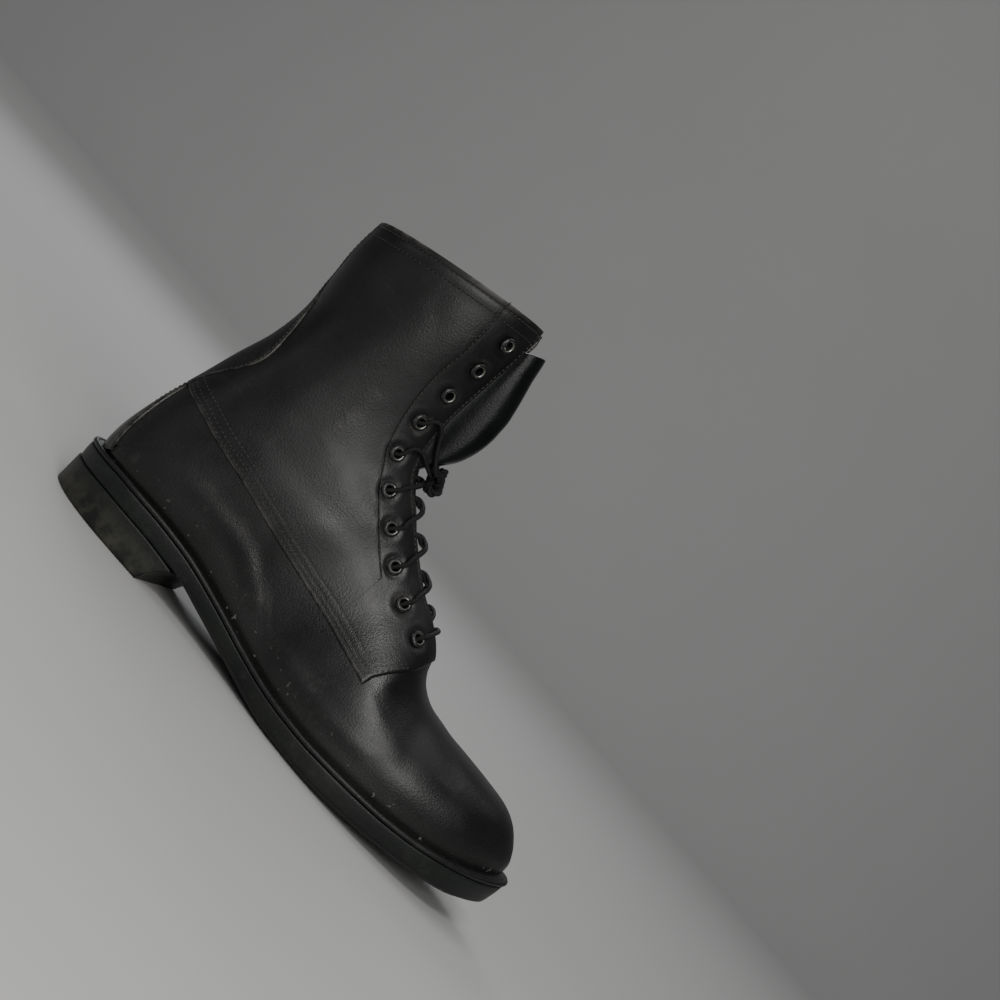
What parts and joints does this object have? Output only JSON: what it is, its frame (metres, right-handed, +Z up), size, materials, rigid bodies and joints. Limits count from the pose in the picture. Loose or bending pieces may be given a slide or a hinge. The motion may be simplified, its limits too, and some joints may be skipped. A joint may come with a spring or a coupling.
{
  "type": "combat boot",
  "caption": "Tall laced leather boot for the right foot with a rubber sole and heel, hollow upper, tongue, eyelets and knotted lace.",
  "frame": {"origin": "on the floor under the middle of the boot's bounding box, the boot standing on its sole", "axes": "+X to the toe, +Y to the inner (medial) side of the foot, +Z up"},
  "size_m": [0.3089, 0.1084, 0.2318],
  "materials": {
    "leather": "satin, worn",
    "tongue_leather": "glossy",
    "rubber": "matt, dusty",
    "welt": "matt",
    "board": "matt",
    "eyelet": "black enamel worn to bright metal",
    "lace": "waxed"
  },
  "bodies": {
    "root": {"outsole": "rubber", "heel": "rubber", "welt": "welt", "insole": "board", "upper": "leather", "tongue": "tongue_leather", "eyelet_lateral_1": "eyelet", "eyelet_lateral_2": "eyelet", "eyelet_lateral_3": "eyelet", "eyelet_lateral_4": "eyelet", "eyelet_lateral_5": "eyelet", "eyelet_lateral_6": "eyelet", "eyelet_lateral_7": "eyelet", "eyelet_lateral_8": "eyelet", "eyelet_lateral_9": "eyelet", "eyelet_lateral_10": "eyelet", "eyelet_medial_1": "eyelet", "eyelet_medial_2": "eyelet", "eyelet_medial_3": "eyelet", "eyelet_medial_4": "eyelet", "eyelet_medial_5": "eyelet", "eyelet_medial_6": "eyelet", "eyelet_medial_7": "eyelet", "eyelet_medial_8": "eyelet", "eyelet_medial_9": "eyelet", "eyelet_medial_10": "eyelet", "lace_bar": "lace", "lace_crossing_1": "lace", "lace_crossing_2": "lace", "lace_crossing_3": "lace", "lace_crossing_4": "lace", "lace_crossing_5": "lace", "lace_knot": "lace", "lace_tie_low_lateral": "lace", "lace_tie_low_medial": "lace", "lace_tie_high_lateral": "lace", "lace_tie_high_medial": "lace"}
  },
  "joints": []
}
